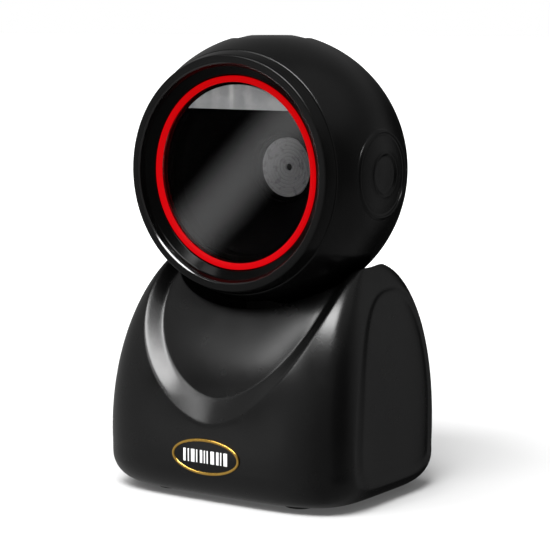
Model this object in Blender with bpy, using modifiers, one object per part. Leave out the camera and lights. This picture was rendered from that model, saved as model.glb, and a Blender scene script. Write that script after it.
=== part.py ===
"""Hands-free desktop barcode scanner: a ball-shaped scan head that tilts on a weighted base.

Axes: -Y is the front, +X is to the right of someone facing the front, +Z is up.
The origin is on the desk, under the middle of the whole object. Sizes below are measured from
under the middle of the head, and place() moves each piece to its position from the origin.
Head pieces turned about the front-to-back axis are drawn by (radius, forward) points, where
forward is the distance from the head's middle towards the front.
"""

import math

import bmesh
import bpy
from mathutils import Matrix, Vector

MM = 0.001
GAP = 0.3 * MM  # between pieces that touch

# Head
HEAD_R = 43.0 * MM
HEAD_Z = 101.5 * MM  # height of the tilt axis
HEAD_AHEAD = 3.25 * MM  # the middle of the head stands this far in front of the origin
SHELL_INNER_R = 40.5 * MM
FRONT_SEAM = 20.6 * MM  # the shell's front edge, in front of the middle
REAR_SEAM = 20.0 * MM  # and its rear edge, behind the middle
RING_R = 30.0 * MM
RING_INNER_R = 27.7 * MM
RING_FRONT = 21.3 * MM
GLASS_R = 27.4 * MM
GLASS_FRONT = 19.9 * MM
DISH_R = 12.0 * MM  # shallow two-step dishes on the sides and the top
DIMPLE_R = 6.0 * MM
DISH_STEP = 0.5 * MM
TILT_UP = math.radians(20)
TILT_DOWN = math.radians(15)

# Yoke that carries the head
STRAP_R = 36.3 * MM
STRAP_INNER_R = 34.3 * MM
STRAP_HALF_WIDTH = 4.0 * MM
STEM_HALF_X = 8.0 * MM
STEM_HALF_Y = 2.5 * MM
PIVOT_R = 2.0 * MM

# Base
BASE_HALF_WIDTH = 46.6 * MM
BASE_FRONT = 36.0 * MM
BASE_REAR = 36.6 * MM
BASE_BOTTOM = 1.5 * MM
BASE_TOP = 73.6 * MM
BASE_EDGE_IN = 8.0 * MM  # rounding of the bottom edge: its depth and its height
BASE_EDGE_HIGH = 9.6 * MM
BASE_WALL = 2.6 * MM
SADDLE_R = 46.0 * MM  # hollow that the ball sits over
PLATE_BOTTOM = 1.8 * MM
PLATE_TOP = 4.8 * MM
SCOOP_HALF_WIDTH = 35.0 * MM
SCOOP_BOTTOM = 25.0 * MM
SCOOP_CENTRE = 68.2 * MM
SCOOP_FLOOR_HALF_WIDTH = 30.8 * MM
SCOOP_FLOOR_BOTTOM = 32.7 * MM
ARM_TOP = 80 * MM  # the scoop cutter runs past the top of the base
PANEL_TOP = 64.0 * MM  # D-shaped recess in each side
PANEL_WAIST = 20.0 * MM  # height at which it is deepest from front to rear
PANEL_BOTTOM = 8.4 * MM
PANEL_FRONT = -17.0 * MM
PANEL_PEAK = 3.25 * MM
PANEL_REAR = 25.0 * MM
PANEL_DEPTH = 1.2 * MM
PANEL_LEAN = 0.125  # above the waist its outline leans to the rear
PANEL_FRONT_EASE = 2.7  # the front wall is this much wider than the others
BADGE_HALF = (12.7 * MM, 5.65 * MM)
BADGE_Z = 15.2 * MM
FOOT_R = 5.0 * MM
FOOT_PLACES = ((-24.3, -20.1), (24.3, -20.1), (-24.3, 21.0), (24.3, 21.0))
BASE_SCREW_PLACES = ((-31.0, -8.0), (31.0, -8.0), (-31.0, 11.0), (31.0, 11.0))
BOARD_Z = 11.5 * MM
JACK_HALF_WIDTH = 8.0 * MM
JACK_REAR = 32.2 * MM
JACK_Z = 19.0 * MM

HEAD_CENTRE = Vector((0, 0, HEAD_Z))
FORWARD = Matrix.Rotation(math.radians(90), 4, "X")  # local +Z becomes -Y
SIDEWAYS = {1: Matrix.Rotation(math.radians(90), 4, "Y"), -1: Matrix.Rotation(math.radians(-90), 4, "Y")}
UPRIGHT = Matrix.Identity(4)


def clear_scene():
    for obj in list(bpy.data.objects):
        bpy.data.objects.remove(obj, do_unlink=True)


def new_collection(name):
    collection = bpy.data.collections.new(name)
    bpy.context.scene.collection.children.link(collection)
    return collection


def make_material(name, colour, roughness, metallic=0.0):
    material = bpy.data.materials.new(name)
    material.use_nodes = True
    shader = material.node_tree.nodes["Principled BSDF"]
    shader.inputs["Base Color"].default_value = (*colour, 1.0)
    shader.inputs["Roughness"].default_value = roughness
    shader.inputs["Metallic"].default_value = metallic
    material.diffuse_color = (*colour, 1.0)
    return material


clear_scene()
PARTS = new_collection("hands_free_scanner")
CUTTERS = new_collection("cutters")

BLACK = make_material("satin_black_plastic", (0.012, 0.012, 0.013), 0.38)
GLOSS = make_material("gloss_black_plastic", (0.008, 0.008, 0.009), 0.12)
RED = make_material("red_light_guide", (0.75, 0.0, 0.01), 0.3)
GLASS = make_material("tinted_glass", (0.03, 0.03, 0.035), 0.03)
FROST = make_material("frosted_diffuser", (0.7, 0.7, 0.7), 0.5)
GREY = make_material("grey_plastic", (0.25, 0.25, 0.25), 0.5)
BOARD = make_material("circuit_board", (0.02, 0.12, 0.05), 0.45)
STEEL = make_material("zinc_plated_steel", (0.55, 0.56, 0.58), 0.35, 1.0)
PAINTED = make_material("black_painted_steel", (0.012, 0.012, 0.012), 0.45)
BRASS = make_material("gold_finish", (0.75, 0.5, 0.12), 0.25, 1.0)
RUBBER = make_material("black_rubber", (0.02, 0.02, 0.02), 0.85)
LED = make_material("white_led", (0.9, 0.9, 0.85), 0.3)
ACETAL = make_material("white_acetal", (0.8, 0.8, 0.78), 0.45)


def place(name, mesh, material, matrix=UPRIGHT, cutter=False):
    """An object of this mesh; matrix places it from the point under the middle of the head."""
    obj = bpy.data.objects.new(name, mesh)
    obj.matrix_world = Matrix.Translation((0, -HEAD_AHEAD, 0)) @ matrix
    if cutter:
        CUTTERS.objects.link(obj)
        obj.hide_render = True
        obj.display_type = "WIRE"
    else:
        PARTS.objects.link(obj)
        mesh.materials.append(material)
    return obj


def mesh_from(bm, name, smooth=True):
    mesh = bpy.data.meshes.new(name)
    bmesh.ops.recalc_face_normals(bm, faces=bm.faces)
    if bm.calc_volume(signed=True) < 0:
        bmesh.ops.reverse_faces(bm, faces=bm.faces)
    bm.to_mesh(mesh)
    bm.free()
    if smooth:
        mesh.shade_smooth()
        mesh.set_sharp_from_angle(angle=math.radians(35))
    return mesh


def at(x, y, z, turn=UPRIGHT):
    return Matrix.Translation((x, y, z)) @ turn


def box(name, size, centre, material=None, bevel=0.0):
    """A box; with no material it is a cutter."""
    bm = bmesh.new()
    bmesh.ops.create_cube(bm, size=1.0)
    bmesh.ops.scale(bm, vec=size, verts=bm.verts)
    obj = place(name, mesh_from(bm, name, False), material, at(*centre), material is None)
    if bevel:
        edges = obj.modifiers.new("rounded_edges", "BEVEL")
        edges.width = bevel
        edges.segments = 2
    return obj


def cylinder(name, radius, length, centre, turn=UPRIGHT, material=None, sides=24, top_radius=None):
    """A cylinder or cone along local Z about its centre; with no material it is a cutter."""
    bm = bmesh.new()
    top = radius if top_radius is None else top_radius
    bmesh.ops.create_cone(bm, cap_ends=True, segments=sides, radius1=radius, radius2=top, depth=length)
    return place(name, mesh_from(bm, name), material, at(*centre, turn), material is None)


def sphere(name, radius, centre, segments=60, rings=34):
    bm = bmesh.new()
    bmesh.ops.create_uvsphere(bm, u_segments=segments, v_segments=rings, radius=radius)
    return place(name, mesh_from(bm, name), None, at(*centre), True)


def turned(name, profile, matrix, material=None, steps=40, closed=True):
    """A turned piece. The profile's (radius, height) points run down the outer side first.

    closed joins the last point to the first, for a ring; otherwise both ends lie on the axis.
    """
    bm = bmesh.new()
    points = [bm.verts.new((radius, 0, height)) for radius, height in profile]
    for here, there in zip(points, points[1:]):
        bm.edges.new((here, there))
    if closed:
        bm.edges.new((points[-1], points[0]))
    mesh = bpy.data.meshes.new(name)
    bm.to_mesh(mesh)
    bm.free()
    obj = place(name, mesh, material, matrix, material is None)
    screw = obj.modifiers.new("turn", "SCREW")
    screw.axis = "Z"
    screw.steps = steps
    screw.render_steps = steps
    screw.use_merge_vertices = True
    screw.merge_threshold = 0.00002
    screw.use_smooth_shade = True
    return obj


def arc(radius, start, end, count):
    """(radius, height) points on a circle about the origin, from one polar angle to another."""
    angles = [start + (end - start) * i / count for i in range(count + 1)]
    return [(radius * math.cos(a), radius * math.sin(a)) for a in angles]


def cut(target, *cutters, operation="DIFFERENCE"):
    for cutter in cutters:
        step = target.modifiers.new(operation.lower() + "_" + cutter.name, "BOOLEAN")
        step.operation = operation
        step.object = cutter
        step.solver = "EXACT"
    return target


def join(target, *others):
    return cut(target, *others, operation="UNION")


def loft(name, sections, material=None):
    """A closed solid through rings of points, all with the same count, capped at both ends."""
    bm = bmesh.new()
    rings = [[bm.verts.new(point) for point in section] for section in sections]
    count = len(rings[0])
    for lower, upper in zip(rings, rings[1:]):
        for i in range(count):
            j = (i + 1) % count
            bm.faces.new((lower[i], lower[j], upper[j], upper[i]))
    bm.faces.new(list(reversed(rings[0])))
    bm.faces.new(rings[-1])
    return place(name, mesh_from(bm, name), material, cutter=material is None)


# ---------------------------------------------------------------- base


def fade(start, end, value, power):
    """1 below start, falling to 0 at end along a rounded quarter."""
    t = min(max((value - start) / (end - start), 0.0), 1.0)
    return (1.0 - t**power) ** (1.0 / power)


def base_extents(z):
    """(half width, front, rear, squareness) of the base's outline at height z."""
    depth = min(max((BASE_BOTTOM + BASE_EDGE_HIGH - z) / BASE_EDGE_HIGH, 0.0), 1.0)
    inset = BASE_EDGE_IN * (1.0 - math.sqrt(1.0 - depth * depth))
    half = BASE_HALF_WIDTH * fade(8.9 * MM, 102.4 * MM, z, 2.2) - inset
    front = BASE_FRONT * fade(13.5 * MM, BASE_TOP, z, 1.9) - inset
    rear = BASE_REAR * fade(6 * MM, BASE_TOP, z, 3.1) - inset
    squareness = 4.5 + 2.1 * min(max((z - 14 * MM) / (60 * MM), 0.0), 1.0)
    return half, front, rear, squareness


def rounded_outline(half, front, rear, squareness, z, count=56):
    """A rounded rectangle as a superellipse, with its own depth at the front and at the rear."""
    points = []
    for i in range(count):
        angle = 2 * math.pi * (i + 0.5) / count
        c, s = math.cos(angle), math.sin(angle)
        # Even spacing along the outline, not by angle, keeps the corners smooth.
        x = half * math.copysign(abs(c) ** (2 / squareness), c)
        depth = rear if s > 0 else front
        points.append((x, depth * math.copysign(abs(s) ** (2 / squareness), s), z))
    return points


def base_front_at(x, z):
    """Y of the base's front face."""
    half, front, rear, squareness = base_extents(z)
    return -front * (1.0 - min(abs(x) / half, 0.999) ** squareness) ** (1.0 / squareness)


def base_side_at(y, z):
    """Distance of the base's side face from the middle plane."""
    half, front, rear, squareness = base_extents(z)
    depth = rear if y > 0 else front
    return half * (1.0 - min(abs(y) / depth, 0.999) ** squareness) ** (1.0 / squareness)


def base_heights(top):
    low = BASE_BOTTOM + BASE_EDGE_HIGH
    edge = [BASE_BOTTOM + BASE_EDGE_HIGH * (1 - math.cos(math.radians(a))) for a in (0, 30, 60, 90)]
    above = [low + (top - low) * math.sin(math.radians(a))
             for a in (16, 32, 46, 58, 67, 75, 81, 86, 89)]
    return edge + above


def scoop_outline(half, bottom, power, angle):
    """(x, z) on the U of the scoop, from the right arm (0) through the bottom to the left arm (pi)."""
    c, s = math.cos(angle), math.sin(angle)
    x = half * math.copysign(abs(c) ** (2 / power), c)
    z = SCOOP_CENTRE - (SCOOP_CENTRE - bottom) * abs(s) ** (2 / power)
    return x, z


def scoop_floor(x, z):
    """Y of the scoop's floor: parallel to the front face, and deeper towards the top."""
    depth = 2.8 * MM + 0.09 * (z - 32.7 * MM)
    return base_front_at(x, z) + depth


def scoop_cutter(name, grow=0.0):
    """The U-shaped recess under the head, with a sloping wall. grow makes it larger all round."""
    count = 26
    outer = (SCOOP_HALF_WIDTH + grow, SCOOP_BOTTOM - grow, 1.7)
    inner = (SCOOP_FLOOR_HALF_WIDTH + grow, SCOOP_FLOOR_BOTTOM - grow, 1.83)
    angles = [math.pi * i / count for i in range(count + 1)]

    def u_ring(shape, depth_at, scale=1.0):
        """Points along the U, from above the right arm down and up to above the left one."""
        half, bottom, power = shape
        path = [scoop_outline(half, bottom, power, angle) for angle in angles]
        path = [(half, ARM_TOP)] + path + [(-half, ARM_TOP)]
        path = [(x * scale, ARM_TOP + (z - ARM_TOP) * scale) for x, z in path]
        return [(x, depth_at(x, z), z) for x, z in path]

    rings = [
        u_ring(outer, lambda x, z: -60 * MM),
        u_ring(outer, lambda x, z: base_front_at(x, min(z, 70 * MM)) + grow),
        u_ring(inner, lambda x, z: scoop_floor(x, min(z, 70 * MM)) + grow),
        u_ring(inner, lambda x, z: scoop_floor(x, min(z, 70 * MM)) + grow, 0.6),
    ]
    bm = bmesh.new()
    rings = [[bm.verts.new(point) for point in ring] for ring in rings]
    for near, far in zip(rings, rings[1:]):
        for i in range(len(near) - 1):
            bm.faces.new((near[i], near[i + 1], far[i + 1], far[i]))
    top = bm.verts.new((0, scoop_floor(0, 70 * MM) + grow, ARM_TOP))
    for i in range(len(rings[-1]) - 1):
        bm.faces.new((rings[-1][i], rings[-1][i + 1], top))
    bm.faces.new(rings[0])
    bm.faces.new([ring[0] for ring in rings] + [top] + [ring[-1] for ring in reversed(rings)])
    return place(name, mesh_from(bm, name), None, cutter=True)


def side_panel_cutter(name, side):
    """A shallow D-shaped recess in the side, with sloping walls and a floor that follows the side."""
    def ring(shrink, grow, proud):
        points = []
        for i in range(36):
            angle = 2 * math.pi * (i + 0.5) / 36
            c, s = math.cos(angle), math.sin(angle)
            height, power = (PANEL_TOP - PANEL_WAIST, 2.4) if s > 0 else (PANEL_WAIST - PANEL_BOTTOM, 5.0)
            depth = PANEL_REAR - PANEL_PEAK if c > 0 else PANEL_PEAK - PANEL_FRONT
            wider = grow if c > 0 else grow * PANEL_FRONT_EASE
            y = PANEL_PEAK + math.copysign((depth * shrink + wider) * abs(c) ** (2 / power), c)
            z = PANEL_WAIST + math.copysign((height * shrink + grow) * abs(s) ** (2 / power), s)
            y += PANEL_LEAN * max(z - PANEL_WAIST, 0.0)
            points.append((side * (base_side_at(y, z) + proud), y, z))
        return points
    floor = [ring(shrink, 0.0, -PANEL_DEPTH) for shrink in (0.02, 0.35, 0.7, 1.0)]
    wall = ring(1.0, 1.6 * MM, -0.15 * MM)
    mouth = ring(1.0, 3.2 * MM, 0.9 * MM)
    outside = [(side * (BASE_HALF_WIDTH + 4 * MM), y, z) for _, y, z in mouth]
    return loft(name, floor + [wall, mouth, outside])


def make_base():
    housing = loft("base_housing", [rounded_outline(*base_extents(z), z) for z in base_heights(BASE_TOP)],
                   BLACK)
    cavity = loft("base_cavity", cavity_sections())
    cut(cavity, sphere("saddle_back", SADDLE_R + BASE_WALL, HEAD_CENTRE, 32, 16))
    cut(cavity, scoop_cutter("scoop_back", 2.4 * MM))
    boss = cylinder("stem_boss", 16 * MM, 14 * MM, (0, 0, 54 * MM), sides=32)
    cut(cavity, boss)
    for i, (x, y) in enumerate(BASE_SCREW_PLACES):
        post = cylinder(f"base_post_{i}", 4 * MM, 16 * MM, (x * MM, y * MM, 13 * MM), sides=20)
        cut(cavity, post)
    cut(housing, cavity)
    cut(housing, loft("plate_opening", plate_sections(0.5 * MM, PLATE_TOP + GAP, 0.0)))
    cut(housing, sphere("saddle", SADDLE_R, HEAD_CENTRE))
    cut(housing, scoop_cutter("scoop"))
    for side, word in ((1, "right"), (-1, "left")):
        cut(housing, side_panel_cutter(f"{word}_panel_recess", side))
    stem_size = (2 * STEM_HALF_X + 2 * GAP, 2 * STEM_HALF_Y + 2 * GAP, 20 * MM)
    cut(housing, box("stem_slot", stem_size, (0, 0, 52 * MM)))
    for i, (x, y) in enumerate(BASE_SCREW_PLACES):
        cut(housing,
            cylinder(f"base_screw_hole_{i}", 1.6 * MM, 12 * MM, (x * MM, y * MM, 9 * MM), sides=16))
    for side in (-1, 1):
        cut(housing,
            cylinder(f"yoke_screw_hole_{side}", 1.6 * MM, 8 * MM, (side * 12 * MM, 0, 49 * MM), sides=16))
    cut(housing, box("jack_window", (13.4 * MM, 20 * MM, 10.6 * MM), (0, 40 * MM, JACK_Z)))
    cut(housing, oval("badge_pocket", 0.25 * MM, 3 * MM, BASE_FRONT + 0.9 * MM))


def cavity_sections():
    sections = []
    for z, inset in ((5.0, 8.0), (8.0, 6.0), (13.0, BASE_WALL / MM), (32, 2.6), (46, 2.6), (54, 2.6),
                     (62, 2.6)):
        half, front, rear, squareness = base_extents(z * MM)
        if z < 9:
            half, front, rear = (37.5 * MM, 28 * MM, 27.5 * MM) if z > 6 else (34.6 * MM, 25 * MM,
                                                                               25.4 * MM)
            inset = 0.0
        inset *= MM
        sections.append(rounded_outline(half - inset, front - inset, rear - inset, squareness, z * MM, 32))
    return sections


def plate_sections(bottom, top, shrink):
    outline = (36.4 * MM - shrink, 26.6 * MM - shrink, 27.0 * MM - shrink, 5.0)
    return [rounded_outline(*outline, z, 32) for z in (bottom, top)]


def oval(name, grow, thickness, depth, material=None):
    """An upright oval plate facing the front; its front face is depth in front of the origin."""
    bm = bmesh.new()
    bmesh.ops.create_cone(bm, cap_ends=True, segments=48, radius1=1, radius2=1, depth=thickness)
    scale = (BADGE_HALF[0] + grow, BADGE_HALF[1] + grow, 1)
    bmesh.ops.scale(bm, vec=scale, verts=bm.verts)
    centre = (0, -depth + thickness / 2, BADGE_Z)
    return place(name, mesh_from(bm, name), material, at(*centre, FORWARD), material is None)


def make_badge():
    pocket_back = BASE_FRONT + 0.9 * MM - 3 * MM
    thickness = 2.3 * MM
    rim = oval("badge_rim", 0.0, thickness, pocket_back + GAP + thickness, BRASS)
    cut(rim, oval("badge_rim_bore", -0.9 * MM, 6 * MM, BASE_FRONT + 2 * MM))
    oval("badge_plate", -1.2 * MM, thickness - 0.3 * MM, pocket_back + GAP + thickness - 0.3 * MM, GLOSS)


def screw(name, head_r, shank_r, matrix, head=1.4 * MM, length=9 * MM, material=STEEL):
    """A screw: its head runs from local z 0 down, then its shank."""
    profile = [(0, -0.6 * MM), (head_r * 0.45, -0.6 * MM), (head_r * 0.5, 0), (head_r, 0)]
    profile += [(head_r, -head), (shank_r, -head), (shank_r, -head - length), (0, -head - length)]
    return turned(name, profile, matrix, material, 10, closed=False)


def make_base_insides():
    plate = loft("bottom_plate", plate_sections(PLATE_BOTTOM, PLATE_TOP, GAP), BLACK)
    for i, (x, y) in enumerate(BASE_SCREW_PLACES):
        spot = (x * MM, y * MM)
        cut(plate, cylinder(f"plate_hole_{i}", 1.6 * MM, 8 * MM, (*spot, 4 * MM), sides=16))
        cut(plate, cylinder(f"plate_counterbore_{i}", 3.4 * MM, 4 * MM, (*spot, 1.6 * MM), sides=24))
        flip = Matrix.Rotation(math.radians(180), 4, "X")
        screw(f"base_screw_{i + 1}", 3.0 * MM, 1.3 * MM, at(*spot, 2.0 * MM, flip), 1.3 * MM, 9 * MM)
    for i, (x, y) in enumerate(FOOT_PLACES):
        spot = (x * MM, y * MM)
        cut(plate, cylinder(f"foot_pocket_{i}", FOOT_R + GAP, 2 * MM, (*spot, 1.9 * MM), sides=28))
        profile = [(0, 2.6), (FOOT_R / MM, 2.6), (FOOT_R / MM, 0.5), (FOOT_R / MM - 0.5, 0), (0, 0)]
        profile = [(r * MM, h * MM) for r, h in profile]
        turned(f"rubber_foot_{i + 1}", profile, at(*spot, 0), RUBBER, 20, closed=False)
    for i, x in enumerate((-17, 17)):
        post = cylinder(f"board_post_{i}", 2.5 * MM, BOARD_Z - GAP - 3 * MM,
                        (x * MM, 17 * MM, (BOARD_Z - GAP + 3 * MM) / 2), sides=16)
        join(plate, post)
    box("ballast_plate", (50 * MM, 26 * MM, 9 * MM), (0, -9.5 * MM, PLATE_TOP + GAP + 4.5 * MM), STEEL,
        0.6 * MM)
    board_front, board_rear = 7 * MM, 25 * MM
    box("interface_board", (42 * MM, board_rear - board_front, 1.6 * MM),
        (0, (board_front + board_rear) / 2, BOARD_Z + 0.8 * MM), BOARD)
    make_jack(BOARD_Z + 1.6 * MM + GAP)


def make_jack(bottom):
    """A ten-way modular socket: a box with a blind hole and a latch notch, open to the rear."""
    top = JACK_Z + 6.2 * MM
    length = 15.5 * MM
    jack = box("cable_socket", (2 * JACK_HALF_WIDTH, length, top - bottom),
               (0, JACK_REAR - length / 2, (top + bottom) / 2), GREY, 0.3 * MM)
    cut(jack, box("jack_mouth", (12 * MM, 24 * MM, 7.4 * MM), (0, JACK_REAR + 1 * MM, JACK_Z)))
    cut(jack, box("jack_latch", (6 * MM, 10 * MM, 3 * MM), (0, JACK_REAR + 1 * MM, JACK_Z + 4 * MM)))


# ---------------------------------------------------------------- yoke


def make_yoke():
    """A curved steel strap from side to side under the head's insides, on a flat stem."""
    count = 36
    rings = []
    for i in range(count + 1):
        angle = math.pi + math.pi * i / count
        c, s = math.cos(angle), math.sin(angle)
        ring = []
        corners = ((STRAP_INNER_R, -1), (STRAP_R, -1), (STRAP_R, 1), (STRAP_INNER_R, 1))
        for radius, side in corners:
            ring.append((radius * c, side * STRAP_HALF_WIDTH, HEAD_Z + radius * s))
        rings.append(ring)
    yoke = loft("tilt_yoke", rings, PAINTED)
    for side, word in ((1, "right"), (-1, "left")):
        eye = cylinder(f"{word}_eye", 6 * MM, 2.4 * MM, (side * 35.2 * MM, 0, HEAD_Z), SIDEWAYS[1],
                       sides=32)
        join(yoke, eye)
        hole = cylinder(f"{word}_eye_hole", PIVOT_R + GAP, 8 * MM, (side * 35.3 * MM, 0, HEAD_Z),
                        SIDEWAYS[1])
        cut(yoke, hole)
    stem_bottom, stem_top = 44.7 * MM, HEAD_Z - STRAP_INNER_R - 0.4 * MM
    join(yoke, box("yoke_stem", (2 * STEM_HALF_X, 2 * STEM_HALF_Y, stem_top - stem_bottom),
                   (0, 0, (stem_top + stem_bottom) / 2)))
    join(yoke, box("yoke_flange", (32 * MM, 12 * MM, 2 * MM), (0, 0, 45.7 * MM)))
    flip = Matrix.Rotation(math.radians(180), 4, "X")
    for side, word in ((1, "right"), (-1, "left")):
        x = side * 12 * MM
        cut(yoke, cylinder(f"{word}_flange_hole", 1.6 * MM, 6 * MM, (x, 0, 45.7 * MM), sides=16))
        screw(f"yoke_screw_{word}", 2.6 * MM, 1.3 * MM, at(x, 0, 42.9 * MM, flip), 1.5 * MM, 8 * MM)
        make_pivot(side, word)


def mm_points(*points):
    return [(r * MM, h * MM) for r, h in points]


def on_ball(depth, *radii):
    """(radius, height) points on a ball that lies depth under the head's surface."""
    ball = HEAD_R - depth
    return [(radius, math.sqrt(ball * ball - radius * radius)) for radius in radii]


def make_pivot(side, word):
    """Pivot screw through the shell's side wall, a friction washer, and a dished cap over its head."""
    axis = at(0, 0, HEAD_Z, SIDEWAYS[side])
    screw(f"pivot_screw_{word}", 4.0 * MM, PIVOT_R, axis @ at(0, 0, 40.5 * MM), 1.4 * MM, 5.6 * MM)
    bore = PIVOT_R / MM + 0.3
    washer = mm_points((5.5, 37.1), (5.5, 36.6), (bore, 36.6), (bore, 37.1))
    turned(f"friction_washer_{word}", washer, axis, ACETAL, 24)
    rim = DISH_R - GAP
    face = on_ball(2 * DISH_STEP, 0, 3 * MM, DIMPLE_R - GAP) + on_ball(DISH_STEP, DIMPLE_R, 9 * MM, rim)
    back = [(rim, 39.8 * MM)] + mm_points((5.2, 39.8), (5.2, 40.8), (0, 40.8))
    turned(f"pivot_cap_{word}", face + back, axis, BLACK, 32, closed=False)


# ---------------------------------------------------------------- head


def make_shell():
    """The ball between its front and rear seams, thickened inside at the pivots and the button."""
    front, rear = math.asin(FRONT_SEAM / HEAD_R), -math.asin(REAR_SEAM / HEAD_R)
    inner_front, inner_rear = math.asin(FRONT_SEAM / SHELL_INNER_R), -math.asin(REAR_SEAM / SHELL_INNER_R)
    profile = arc(HEAD_R, front, rear, 6) + arc(SHELL_INNER_R, inner_rear, inner_front, 4)
    centre = at(0, 0, HEAD_Z, FORWARD)
    shell = turned("head_shell", profile, centre, BLACK, 48)
    rail = mm_points((40.8, -8.6), (40.8, -10.6), (36.0, -10.6), (36.0, -8.6))
    join(shell, turned("chassis_rail", rail, centre, None, 32))
    for side, word in ((1, "right"), (-1, "left")):
        pivot = at(0, 0, HEAD_Z, SIDEWAYS[side])
        boss = cylinder(f"{word}_pivot_boss", 13.4 * MM, 3.2 * MM, (side * 39.0 * MM, 0, HEAD_Z),
                        SIDEWAYS[side])
        post = cylinder(f"{word}_cover_post", 3.0 * MM, 12.0 * MM, cover_screw_place(side, 13.6), FORWARD,
                        sides=20)
        join(shell, boss, post)
        seat = [(0, 46 * MM), (DISH_R, 46 * MM), (DISH_R, 39.5 * MM)]
        seat += mm_points((5.0, 39.5), (5.0, 38.8), (0, 38.8))
        cut(shell, turned(f"{word}_cap_seat", seat, pivot, None, 36, False))
        cut(shell,
            cylinder(f"{word}_pivot_hole", PIVOT_R + GAP, 10 * MM, (side * 39 * MM, 0, HEAD_Z),
                     SIDEWAYS[side]))
        cut(shell,
            cylinder(f"{word}_cover_hole", 1.6 * MM, 10 * MM, cover_screw_place(side, 17), FORWARD,
                     sides=16))
        cut(shell,
            cylinder(f"{word}_chassis_hole", 1.0 * MM, 8 * MM, chassis_screw_place(side, 9), FORWARD,
                     sides=16))
    join(shell, cylinder("button_boss", 12.9 * MM, 2.2 * MM, (0, 0, HEAD_Z + 39.2 * MM), sides=28))
    for side in (-1, 1):
        post = cylinder(f"button_board_post_{side}", 1.8 * MM, 8 * MM,
                        (side * 11 * MM, 0, HEAD_Z + 35 * MM), sides=16)
        join(shell, post)
    dish = [(0, 46 * MM), (DISH_R, 46 * MM)] + on_ball(DISH_STEP, DISH_R, 9 * MM, DIMPLE_R, 0)
    cut(shell, turned("top_dish", dish, at(0, 0, HEAD_Z), None, 36, False))
    cut(shell, cylinder("button_hole", DIMPLE_R + GAP, 12 * MM, (0, 0, HEAD_Z + 40 * MM), sides=32))
    slot_front = HEAD_R * math.sin(TILT_DOWN + math.radians(4.8))
    slot_rear = HEAD_R * math.sin(TILT_UP + math.radians(4.8))
    size = (2 * STEM_HALF_X + 2 * MM, slot_front + slot_rear, 20 * MM)
    cut(shell, box("stem_window", size, (0, (slot_rear - slot_front) / 2, HEAD_Z - 42 * MM)))


def cover_screw_place(side, behind):
    """Centre of a rear cover screw, so many millimetres behind the middle of the head."""
    return side * 31 * MM, behind * MM, HEAD_Z + 11.4 * MM


def chassis_screw_place(side, behind):
    return side * 29.8 * MM, behind * MM, HEAD_Z + 22.6 * MM


def make_bezel():
    """Front ring with a funnel that leads in to the red light ring."""
    profile = mm_points((33.8, 24.75), (35.7, 24.6), (36.3, 24.1), (37.5, 20.9), (34.5, 20.9), (34.3, 15.8),
                        (33.5, 15.8), (33.5, 17.6), (30.3, 17.6), (30.3, 21.3), (32.3, 22.9), (33.3, 24.5))
    turned("front_bezel", profile, at(0, 0, HEAD_Z, FORWARD), GLOSS, 48)


def make_optics():
    centre = at(0, 0, HEAD_Z, FORWARD)
    ring_back = RING_FRONT - 3.7 * MM
    ring = [(RING_R - 0.4 * MM, RING_FRONT), (RING_R, RING_FRONT - 0.3 * MM), (RING_R, ring_back),
            (RING_INNER_R, ring_back), (RING_INNER_R, RING_FRONT - 0.4 * MM)]
    turned("light_ring", ring, centre, RED, 48)
    turned("ring_led_board", mm_points((33.2, 17.3), (33.2, 16.1), (27.8, 16.1), (27.8, 17.3)), centre,
           BOARD, 48)
    pane_back = GLASS_FRONT - 1.5 * MM
    pane = [(0, GLASS_FRONT), (GLASS_R - GAP, GLASS_FRONT), (GLASS_R, GLASS_FRONT - GAP),
            (GLASS_R, pane_back), (0, pane_back)]
    turned("scan_window", pane, centre, GLASS, 48, False)
    shroud = mm_points((27.4, 16.6), (27.4, 12.5), (13.0, -6.0), (11.8, -6.0), (26.1, 12.0), (26.1, 16.6))
    turned("light_shroud", shroud, centre, BLACK, 40)
    diffuser = cylinder("led_diffuser", GLASS_R - GAP, 1.2 * MM, (0, -17.5 * MM, HEAD_Z), FORWARD, FROST,
                        48)
    cut(diffuser, box("diffuser_trim", (80 * MM, 10 * MM, 60 * MM), (0, -17.5 * MM, HEAD_Z - 10.5 * MM)))
    board_z = HEAD_Z + 21.6 * MM
    box("led_board", (20.4 * MM, 1.2 * MM, 3.8 * MM), (0, -13.4 * MM, board_z), BOARD)
    for i, x in enumerate((-8.4, -2.2, 4.0)):
        box(f"white_led_{i + 1}", (2.8 * MM, 1.2 * MM, 2.8 * MM), (x * MM, -14.9 * MM, board_z), LED,
            0.2 * MM)
    make_engine()


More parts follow.
